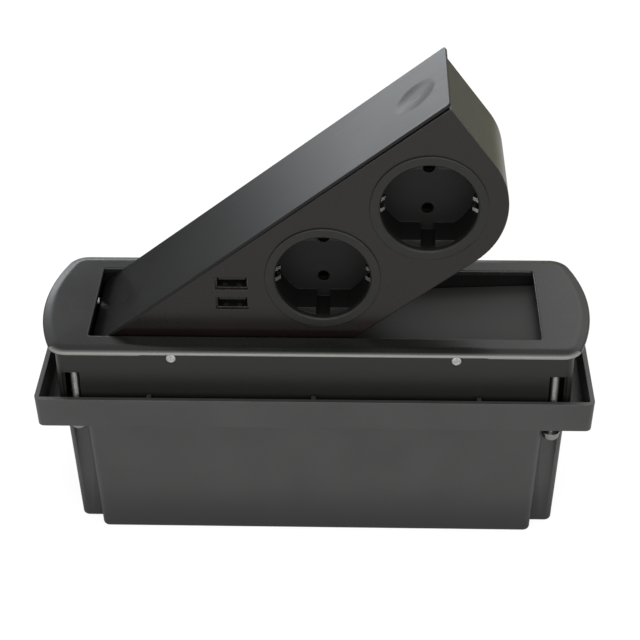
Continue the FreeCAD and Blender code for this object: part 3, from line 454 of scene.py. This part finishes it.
def new_finish(name):
    material = bpy.data.materials.new(name)
    material.use_nodes = True
    return material, Finish(material.node_tree)


def shade(colour, gain):
    """The colour, darker or lighter."""
    return tuple(min(1.0, c * gain) for c in colour)


def tone(colour, gain=1.0):
    """The colour, darker or lighter, as a node's socket takes it."""
    return shade(colour, gain) + (1.0,)


def moulded_plastic(name, colour, roughness, gloss, grain=1.0, mottle=0.16, wear=0.5, painted_shading_fades=(),
                    lip=None):
    """Grained plastic with a faint mottle, scuffs and edges rubbed a little lighter.

    Grain is by the depth in the sizes, mottle by the colour and wear by the full edge tone. Painted
    shade and painted light may be added in bands, and a painted highlight along an edge.
    """
    sizes = bpy.context.scene.desk_socket_sizes
    material, f = new_finish(name)
    fine = f.speckle(sizes.grain, detail=3.0, rough=0.6)
    pits = f.cells(sizes.grain * plastic_pit_to_grain)
    cloud = f.speckle(plastic_cloud, detail=4.0, rough=0.55)
    rubs = f.speckle(plastic_rub, detail=5.0, rough=0.65, stretch=plastic_rub_stretch)
    soft = f.rounded(sizes.edge_round)
    edge = f.edge_mask(soft, plastic_edge_gain)
    scuff = rubs.between(*plastic_scuff_range)
    base = f.mixed(f.blend(cloud, fine, share=0.7).between(*mottle_range),
                   tone(colour, 1.0 - mottle), tone(colour, 1.0 + mottle))
    rough = (roughness + (cloud - 0.5) * plastic_cloud_dulling + scuff * plastic_scuff_dulling
             - edge * plastic_edge_polish)
    # painted highlight: a band under the lip's top, on its long sides only, is made much lighter
    if lip:
        beyond = (f.along("Y") * f.along("Y")).between((lip.reach - lip_highlight_blend) ** 2,
                                                       lip.reach ** 2)
        base = f.mixed(f.along("Z").between(lip.start, lip.full) * beyond, base,
                       tone(colour, lip.gain))
    # painted shade and painted light in bands along an axis, each with its own change of roughness
    for shading_fade in painted_shading_fades:
        share = f.along(shading_fade.axis).between(shading_fade.start, shading_fade.full)
        base = f.mixed(share, base, tone(colour, shading_fade.gain))
        rough = rough + share * shading_fade.dulling
    rubbed = edge * wear * (plastic_least_wear + cloud * plastic_cloud_wear)
    worn = f.mixed(rubbed, base, tone(colour, plastic_edge_tone))
    f.close({"Base Color": worn, "Roughness": rough.clamped(*plastic_rough_limits),
             "Specular IOR Level": gloss,
             "Normal": f.bumped(f.blend(fine, pits, share=0.7), sizes.grain_depth * grain, soft)})
    return material


def powder_coat(name, colour, roughness, gloss):
    """Fine powder coat on sheet: tiny peel, faint long rubs and a satin sheen."""
    sizes = bpy.context.scene.desk_socket_sizes
    material, f = new_finish(name)
    peel = f.speckle(coat_peel, detail=2.0, rough=0.5)
    dust = f.speckle(coat_dust, detail=1.0, rough=0.5)
    cloud = f.speckle(coat_cloud, detail=3.0, rough=0.5)
    rubs = f.speckle(coat_rub, detail=4.0, rough=0.6, stretch=coat_rub_stretch)
    soft = f.rounded(sizes.edge_round * coat_edge_round)
    edge = f.edge_mask(soft, coat_edge_gain)
    darker, lighter = coat_tones
    base = f.mixed(f.blend(cloud, dust, share=0.6).between(*mottle_range),
                   tone(colour, darker), tone(colour, lighter))
    worn = f.mixed(edge * coat_wear, base, tone(colour, coat_edge_tone))
    rough = (roughness + (cloud - 0.5) * coat_cloud_dulling + (rubs - 0.5) * coat_rub_dulling
             - edge * coat_edge_polish)
    f.close({"Base Color": worn, "Roughness": rough.clamped(*coat_rough_limits),
             "Specular IOR Level": gloss,
             "Normal": f.bumped(f.blend(peel, dust, share=0.75), coat_depth, soft)})
    return material


def plated_metal(name, colour, roughness, tarnish=0.35):
    """Plated or drawn metal: fine marks, duller patches and bright edges."""
    sizes = bpy.context.scene.desk_socket_sizes
    material, f = new_finish(name)
    marks = f.speckle(metal_mark, detail=3.0, rough=0.6)
    cloud = f.speckle(metal_cloud, detail=4.0, rough=0.6)
    soft = f.rounded(sizes.edge_round * metal_edge_round)
    edge = f.edge_mask(soft, metal_edge_gain)
    dull = cloud.between(*metal_tarnish_range) * tarnish
    base = f.mixed(dull, tone(colour), tone(colour, metal_tarnish_tone))
    worn = f.mixed(edge * metal_wear, base, tone(colour, metal_edge_tone))
    rough = (roughness + dull * metal_tarnish_dulling + (marks - 0.5) * metal_mark_dulling
             - edge * metal_edge_polish)
    f.close({"Base Color": worn, "Roughness": rough.clamped(*metal_rough_limits),
             "Metallic": 1.0, "Normal": f.bumped(marks, metal_depth, soft)})
    return material


def lacquered_board(name, lacquer, track):
    """Circuit board: lacquer over copper tracks, with a glass weave showing through."""
    material, f = new_finish(name)
    weave = f.add("ShaderNodeTexWave", {"wave_type": "BANDS", "bands_direction": "DIAGONAL"},
                  {"Vector": f.place(), "Scale": 1.0 / weave_pitch,
                   "Distortion": weave_waviness})["Fac"]
    tracks = f.add("ShaderNodeTexBrick", {}, {"Vector": f.place(), "Scale": 1.0 / track_pitch,
                                              "Mortar Size": track_gap})["Fac"]
    copper = f.mixed(tracks * track_share, tone(lacquer), tone(track))
    base = f.mixed(weave * weave_share, copper, tone(lacquer, weave_tone))
    rough = board_roughness + weave * weave_dulling
    f.close({"Base Color": base, "Roughness": rough.clamped(*board_rough_limits),
             "Normal": f.bumped(tracks, track_depth, f.rounded(board_edge_round))})
    return material


# Pieces

def paint(material, *nodes):
    """Gives the finish to nodes of the frame, by name."""
    for name in nodes:
        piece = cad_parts[name]
        for material_slot in piece.material_slots:
            material_slot.material = material


def add_piece(name, mesh, material, body, smooth_angle=40.0):
    """A new piece that moves with a body."""
    mesh.materials.append(material)
    piece = bpy.data.objects.new(name, mesh)
    bpy.context.scene.collection.objects.link(piece)
    mesh.shade_smooth()
    mesh.set_sharp_from_angle(angle=math.radians(smooth_angle))
    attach(piece, body)


def finished_mesh(name, shape):
    """Mesh of a drawn shape, with every face turned outwards."""
    bmesh.ops.recalc_face_normals(shape, faces=shape.faces)
    mesh = bpy.data.meshes.new(name)
    shape.to_mesh(mesh)
    shape.free()
    return mesh


def cube_with_round_edges(shape, matrix, round_size):
    cube = bmesh.ops.create_cube(shape, size=1.0, matrix=matrix)
    edges = list({edge for vert in cube["verts"] for edge in vert.link_edges})
    bmesh.ops.bevel(shape, geom=edges, offset=round_size, segments=2, affect="EDGES")


def helix_ridge(shape, x, y, foot, top, pitch, proud):
    """A triangular ridge wound up a screw's shaft from foot to top, tapering out at both ends."""
    turns = (top - foot) / pitch
    count = int(turns * thread_steps)
    half = pitch * thread_flank
    last = None
    for k in range(count + 1):
        share = k / count
        turns_to_end = min(share, 1.0 - share) * count / thread_steps
        taper = min(1.0, turns_to_end / thread_taper_turns)
        angle = 2.0 * math.pi * turns * share
        z = foot + (top - foot) * share
        across = Vector((math.cos(angle), math.sin(angle), 0.0))
        ring = []
        for out, up in ((-thread_sunk, -half), (-thread_sunk, half), (proud * taper, 0.0)):
            ring.append(shape.verts.new(across * (shaft_radius + out) + Vector((x, y, z + up))))
        if last:
            for i in range(3):
                j = (i + 1) % 3
                shape.faces.new((last[i], last[j], ring[j], ring[i]))
        else:
            shape.faces.new(ring)
        last = ring
    shape.faces.new(list(reversed(last)))


def screw_places(node):
    """Middle and height of each upright screw in a node, found from where its points gather."""
    screws = []
    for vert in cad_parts[node].data.vertices:
        point = vert.co
        for screw in screws:
            first = screw[0]
            if abs(first.x - point.x) < screw_spread and abs(first.y - point.y) < screw_spread:
                screw.append(point)
                break
        else:
            screws.append([point])
    places = []
    for screw in screws:
        xs = [point.x for point in screw]
        ys = [point.y for point in screw]
        zs = [point.z for point in screw]
        places.append(((min(xs) + max(xs)) / 2, (min(ys) + max(ys)) / 2, min(zs), max(zs)))
    return places


class DESKSOCKET_OT_tub(bpy.types.Operator):
    """Gives the tub, its rim and ribs their grained plastic, with painted shade darkening it
    towards its foot
    """
    bl_idname = "desksocket.tub"
    bl_label = "Finish the tub"

    def execute(self, context):
        colours = context.scene.desk_socket_colours
        # painted shade: the tub darkens towards its foot, in place of the shadowed floor it mirrors
        # there, and dulls a little
        foot = Fade("Z", start=32.0 * MM, full=2.0 * MM, gain=0.30, dulling=0.08)
        paint(moulded_plastic("tub_grain", colours.tub, roughness=0.42, gloss=0.52, painted_shading_fades=(foot,)),
              "lower_tub")
        return {"FINISHED"}


class DESKSOCKET_OT_gland(bpy.types.Operator):
    """Finishes the cable gland and ribs its cap for the fingers"""
    bl_idname = "desksocket.gland"
    bl_label = "Finish the cable gland"

    def execute(self, context):
        colours = context.scene.desk_socket_colours
        sizes = context.scene.desk_socket_sizes
        nylon = moulded_plastic("gland_nylon", colours.gland, roughness=0.45, gloss=0.4, grain=0.7)
        paint(nylon, "cable_gland", "gland_nut")
        low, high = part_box("cable_gland")
        middle = Matrix.Translation((low.x + rib_inset, (low.y + high.y) / 2.0,
                                     (low.z + high.z) / 2.0))
        outward = Matrix.Translation((0.0, 0.0, rib_reach))
        rib_size = Matrix.Diagonal((rib_length, rib_width, rib_height, 1.0))
        shape = bmesh.new()
        for k in range(sizes.grip_ribs):
            turn = Matrix.Rotation(2.0 * math.pi * k / sizes.grip_ribs, 4, "X")
            cube_with_round_edges(shape, middle @ turn @ outward @ rib_size, rib_round)
        add_piece("gland_grip_ribs", finished_mesh("gland_grip_ribs", shape), nylon, "tub")
        return {"FINISHED"}


class DESKSOCKET_OT_bezel(bpy.types.Operator):
    """Gives the bezel plate and skirt their satin finish, with a painted highlight along the
    plate's front and back edge and a skirt whose lighter tone is a painted reflection of the floor
    """
    bl_idname = "desksocket.bezel"
    bl_label = "Finish the bezel"

    def execute(self, context):
        colours = context.scene.desk_socket_colours
        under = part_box("well_liner")[1].z
        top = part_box("bezel_frame")[1].z
        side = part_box("bezel_frame")[1].y
        # painted highlight along the plate's front and back lip
        lip = Lip(start=top - 0.6 * MM, full=top - 1.4 * MM, reach=side - 4.0 * MM, gain=22.0)
        # skirt below the plate: rougher for its matte grain, and lighter as a painted reflection of
        # the floor
        skirt = Fade("Z", start=under, full=under - 0.3 * MM, gain=1.7, dulling=0.12)
        paint(moulded_plastic("bezel_satin", colours.bezel, roughness=0.27, gloss=0.26, grain=0.35,
                              mottle=0.10, painted_shading_fades=(skirt,), lip=lip), "bezel_frame")
        # the well's walls: partly their own black plastic, partly painted shade of the well
        paint(moulded_plastic("well_grain", colours.inner, roughness=0.5, gloss=0.06), "well_liner")
        return {"FINISHED"}


class DESKSOCKET_OT_flap(bpy.types.Operator):
    """Gives the flap behind the head its smooth satin finish"""
    bl_idname = "desksocket.flap"
    bl_label = "Finish the flap"

    def execute(self, context):
        colours = context.scene.desk_socket_colours
        paint(moulded_plastic("flap_satin", colours.flap, roughness=0.50, gloss=0.24, grain=0.3,
                              mottle=0.08), "flap")
        return {"FINISHED"}


class DESKSOCKET_OT_screws(bpy.types.Operator):
    """Plates every screw and washer, and winds threads on the clamp screws"""
    bl_idname = "desksocket.screws"
    bl_label = "Finish the screws"

    def execute(self, context):
        colours = context.scene.desk_socket_colours
        sizes = context.scene.desk_socket_sizes
        paint(plated_metal("zinc_plate", colours.zinc, roughness=0.30), "skirt_screws",
              "panel_screws", "terminal_screws")
        paint(plated_metal("bright_plate", colours.bright, roughness=0.50), "stop_screw")
        dull_zinc = plated_metal("dull_zinc_plate", shade(colours.zinc, clamp_screw_tone),
                                 roughness=0.34)
        paint(dull_zinc, "clamp_screws", "clamp_washers")
        places = screw_places("clamp_screws")
        if len(places) != screw_count:
            raise RuntimeError("the clamp screws weren't found in the frame")
        shape = bmesh.new()
        for x, y, low, high in places:
            helix_ridge(shape, x, y, low + thread_start, high - thread_runout,
                        sizes.thread_pitch, sizes.thread_proud)
        add_piece("clamp_threads", finished_mesh("clamp_threads", shape), dull_zinc, "frame",
                  thread_smooth_angle)
        return {"FINISHED"}


class DESKSOCKET_OT_hinge(bpy.types.Operator):
    """Finishes the pins, bushes and return spring of the head's hinge"""
    bl_idname = "desksocket.hinge"
    bl_label = "Finish the hinge"

    def execute(self, context):
        colours = context.scene.desk_socket_colours
        paint(plated_metal("drawn_steel", colours.spring, roughness=0.32), "return_spring",
              "flap_pin", "pivot_pins")
        paint(plated_metal("turned_brass", colours.brass, roughness=0.28), "pivot_bushes")
        return {"FINISHED"}


class DESKSOCKET_OT_lid(bpy.types.Operator):
    """Powder coats the lid plate"""
    bl_idname = "desksocket.lid"
    bl_label = "Finish the lid"

    def execute(self, context):
        colours = context.scene.desk_socket_colours
        paint(powder_coat("lid_coat", colours.lid, roughness=0.30, gloss=0.18), "lid_plate")
        return {"FINISHED"}


class DESKSOCKET_OT_head(bpy.types.Operator):
    """Finishes the head's casing and front panel"""
    bl_idname = "desksocket.head"
    bl_label = "Finish the head"

    def execute(self, context):
        colours = context.scene.desk_socket_colours
        paint(moulded_plastic("casing_satin", colours.casing, roughness=0.30, gloss=0.34,
                              grain=0.35), "head_casing")
        paint(moulded_plastic("panel_satin", colours.panel, roughness=0.28, gloss=0.36, grain=0.35,
                              mottle=0.12, wear=0.35), "front_panel")
        return {"FINISHED"}


class DESKSOCKET_OT_sockets(bpy.types.Operator):
    """Finishes the socket inserts with their clips, contacts, bars and terminals, with painted
    shade in the recesses and on the pin contacts
    """
    bl_idname = "desksocket.sockets"
    bl_label = "Finish the sockets"

    def execute(self, context):
        colours = context.scene.desk_socket_colours
        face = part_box("socket_lower")[0].y
        # painted shade: the plastic darkens, and dulls, deeper into each recess
        painted_recess_shade = Fade("Y", start=face + 1.5 * MM, full=face + 4.5 * MM, gain=0.12, dulling=0.20)
        paint(moulded_plastic("socket_satin", colours.socket, roughness=0.36, gloss=0.26,
                              grain=0.35, mottle=0.10, wear=0.4, painted_shading_fades=(painted_recess_shade,)),
              "socket_lower", "socket_upper")
        paint(plated_metal("clip_plate", shade(colours.nickel, clip_tone), roughness=0.26),
              "earth_clips")
        # painted shade: the pin contacts' brass is darkened, as they lie deep in the pin holes
        paint(plated_metal("contact_metal", shade(colours.brass, contact_shade_tone), roughness=0.45),
              "pin_contacts")
        paint(plated_metal("bar_metal", colours.brass, roughness=0.26), "live_bar", "neutral_bar",
              "earth_bar")
        paint(moulded_plastic("terminal_nylon", colours.terminal, roughness=0.5, gloss=0.4),
              "terminal_block")
        return {"FINISHED"}


class DESKSOCKET_OT_usb(bpy.types.Operator):
    """Finishes the port shells and board, and lays the contacts on each tongue; the shells are
    darkened as painted shade of the ports
    """
    bl_idname = "desksocket.usb"
    bl_label = "Finish the USB ports"

    def execute(self, context):
        colours = context.scene.desk_socket_colours
        # painted shade: the port shells' nickel is darkened, as they sit back in the dark ports
        paint(plated_metal("shell_plate", shade(colours.nickel, shell_shade_tone), roughness=0.42),
              "usb_shells")
        paint(moulded_plastic("tongue_nylon", colours.inner, roughness=0.45, gloss=0.35, grain=0.5),
              "usb_tongues")
        paint(lacquered_board("board_lacquer", colours.board, colours.track), "usb_board")
        gold = plated_metal("contact_gold", colours.gold, roughness=0.22, tarnish=0.15)
        low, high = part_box("usb_tongues")
        shape = bmesh.new()
        for underside in (low.z, high.z - tongue_thickness):
            add_contacts(shape, (low.x + high.x) / 2.0, low.y, underside)
        add_piece("port_contacts", finished_mesh("port_contacts", shape), gold, "head")
        return {"FINISHED"}


def add_contacts(shape, middle, front, underside):
    """Contact strips side by side under one tongue, the outer ones starting nearer its front."""
    last = contacts_per_port - 1
    for k in range(contacts_per_port):
        start = front + (outer_contact_start if k in (0, last) else inner_contact_start)
        end = front + contact_end
        place = Matrix.Translation((middle + (k - last / 2.0) * contact_pitch,
                                    (start + end) / 2.0, underside - contact_drop))
        size = Matrix.Diagonal((contact_width, end - start, contact_thickness, 1.0))
        cube_with_round_edges(shape, place @ size, contact_round)


class DESKSOCKET_OT_stage(bpy.types.Operator):
    """Sets the floor, room light, soft boxes, cards and camera"""
    bl_idname = "desksocket.stage"
    bl_label = "Set the stage"

    def execute(self, context):
        stage = context.scene.desk_socket_stage
        add_floor(stage)
        light_room(stage)
        for box in soft_boxes:
            add_lamp(box, getattr(stage, box.power))
        for card in cards:
            add_card(card, getattr(stage, card.name))
        add_camera(context)
        context.scene.view_settings.view_transform = "Standard"
        return {"FINISHED"}


def add_floor(stage):
    """Floor that shows as white paper, less the shadow that falls on it."""
    mesh = bpy.data.meshes.new("floor")
    near, far = -floor_reach, floor_reach
    mesh.from_pydata([(near, near, 0.0), (far, near, 0.0), (far, far, 0.0), (near, far, 0.0)], [],
                     [(0, 1, 2, 3)])
    floor = bpy.data.objects.new("floor", mesh)
    bpy.context.scene.collection.objects.link(floor)
    floor.location.z = -floor_drop
    material, f = new_finish("floor_paper")
    path = f.add("ShaderNodeLightPath", {}, {})
    bounce = f.add("ShaderNodeBsdfDiffuse", {}, {"Color": tone(stage.floor)})["BSDF"]
    glow = f.add("ShaderNodeEmission", {}, {
        "Color": white, "Strength": 1.0 + stage.shadow * floor_make_up})["Emission"]
    seen = path["Is Camera Ray"] + path["Is Transmission Ray"]
    share = seen * (1.0 - stage.shadow) + path["Is Glossy Ray"] * (1.0 - stage.mirrored_shadow)
    paper = f.add("ShaderNodeMixShader", {}, {0: share.clamped(0.0, 1.0), 1: bounce, 2: glow})
    f.add("ShaderNodeOutputMaterial", {}, {"Surface": paper["Shader"]})
    mesh.materials.append(material)


def light_room(stage):
    """Room that shows as white and lights the object more softly than it shows."""
    world = bpy.data.worlds.new("room")
    bpy.context.scene.world = world
    world.use_nodes = True
    f = Finish(world.node_tree)
    path = f.add("ShaderNodeLightPath", {}, {})
    seen = path["Is Camera Ray"] + path["Is Glossy Ray"] + path["Is Transmission Ray"]
    strength = stage.sky + seen.clamped(0.0, 1.0) * (1.0 - stage.sky)
    room = f.add("ShaderNodeBackground", {}, {"Color": white, "Strength": strength})
    f.add("ShaderNodeOutputWorld", {}, {"Surface": room["Background"]})


def add_lamp(box, power):
    """Soft box turned to the object."""
    light = bpy.data.lights.new(box.name, "AREA")
    light.shape = "RECTANGLE"
    light.size = box.width
    light.size_y = box.height
    light.energy = power
    light.color = box.colour
    lamp = bpy.data.objects.new(box.name, light)
    lamp.location = box.place
    lamp.rotation_mode = "QUATERNION"
    lamp.rotation_quaternion = (lamp_target - Vector(box.place)).to_track_quat("-Z", "Y")
    bpy.context.scene.collection.objects.link(lamp)


def add_card(card, colour):
    """Upright card that faces the object, shows only in its gloss and may darken upwards."""
    middle = Vector(card.middle)
    inward = Vector((-middle.x, -middle.y, 0.0)).normalized()
    across = Vector((-inward.y, inward.x, 0.0)) * card.width / 2.0
    up = Vector((0.0, 0.0, card.height / 2.0))
    mesh = bpy.data.meshes.new(card.name)
    corners = (middle - across - up, middle + across - up, middle + across + up,
               middle - across + up)
    mesh.from_pydata([tuple(corner) for corner in corners], [], [(0, 1, 2, 3)])
    material, f = new_finish(card.name)
    rise = f.along("Z").between(middle.z - card.height * card_tone_start,
                                middle.z + card.height * card_tone_end)
    f.close({"Base Color": f.mixed(rise, tone(colour), tone(colour, card.head_tone)),
             "Roughness": card_roughness})
    mesh.materials.append(material)
    piece = bpy.data.objects.new(card.name, mesh)
    piece.visible_camera = False
    piece.visible_shadow = False
    bpy.context.scene.collection.objects.link(piece)


def add_camera(context):
    """Camera that looks down at the front, turned and rolled a little."""
    level = math.cos(camera_elevation)
    ahead = Vector((math.sin(camera_azimuth) * level, math.cos(camera_azimuth) * level,
                    -math.sin(camera_elevation)))
    right = Vector((math.cos(camera_azimuth), -math.sin(camera_azimuth), 0.0))
    up = right.cross(ahead)
    turned_right = right * math.cos(camera_roll) + up * math.sin(camera_roll)
    turned_up = up * math.cos(camera_roll) - right * math.sin(camera_roll)
    data = bpy.data.cameras.new("camera")
    data.sensor_width = camera_film
    data.lens = camera_lens
    data.shift_x, data.shift_y = camera_shift
    data.clip_start = camera_nearest
    data.clip_end = camera_farthest
    camera = bpy.data.objects.new("camera", data)
    axes = Matrix((turned_right, turned_up, -ahead)).transposed()
    place = camera_aim - ahead * camera_distance
    camera.matrix_world = Matrix.Translation(place) @ axes.to_4x4()
    context.scene.collection.objects.link(camera)
    context.scene.camera = camera


class DESKSOCKET_PT_finish(bpy.types.Panel):
    """Lists the steps that dress the desk socket"""
    bl_label = "Desk Socket"
    bl_space_type = "VIEW_3D"
    bl_region_type = "UI"
    bl_category = "Desk Socket"

    def draw(self, context):
        for step in steps:
            self.layout.operator(step.bl_idname)
        for group in (context.scene.desk_socket_sizes, context.scene.desk_socket_colours,
                      context.scene.desk_socket_stage):
            box = self.layout.box()
            for name in group.__annotations__:
                box.prop(group, name)


steps = (DESKSOCKET_OT_tub, DESKSOCKET_OT_gland, DESKSOCKET_OT_bezel, DESKSOCKET_OT_flap,
         DESKSOCKET_OT_screws, DESKSOCKET_OT_hinge, DESKSOCKET_OT_lid, DESKSOCKET_OT_head,
         DESKSOCKET_OT_sockets, DESKSOCKET_OT_usb, DESKSOCKET_OT_stage)
groups = (DeskSocketSizes, DeskSocketColours, DeskSocketStage)


def register():
    for item in groups + steps + (DESKSOCKET_PT_finish,):
        bpy.utils.register_class(item)
    bpy.types.Scene.desk_socket_sizes = bpy.props.PointerProperty(type=DeskSocketSizes)
    bpy.types.Scene.desk_socket_colours = bpy.props.PointerProperty(type=DeskSocketColours)
    bpy.types.Scene.desk_socket_stage = bpy.props.PointerProperty(type=DeskSocketStage)


def unregister():
    del bpy.types.Scene.desk_socket_stage
    del bpy.types.Scene.desk_socket_colours
    del bpy.types.Scene.desk_socket_sizes
    for item in reversed(groups + steps + (DESKSOCKET_PT_finish,)):
        bpy.utils.unregister_class(item)


def main():
    register()
    for step in steps:
        name = step.bl_idname.split(".")[1]
        result = getattr(bpy.ops.desksocket, name)()
        if result != {"FINISHED"}:
            raise RuntimeError(step.bl_idname + " didn't finish")


if __name__ == "__main__":
    main()
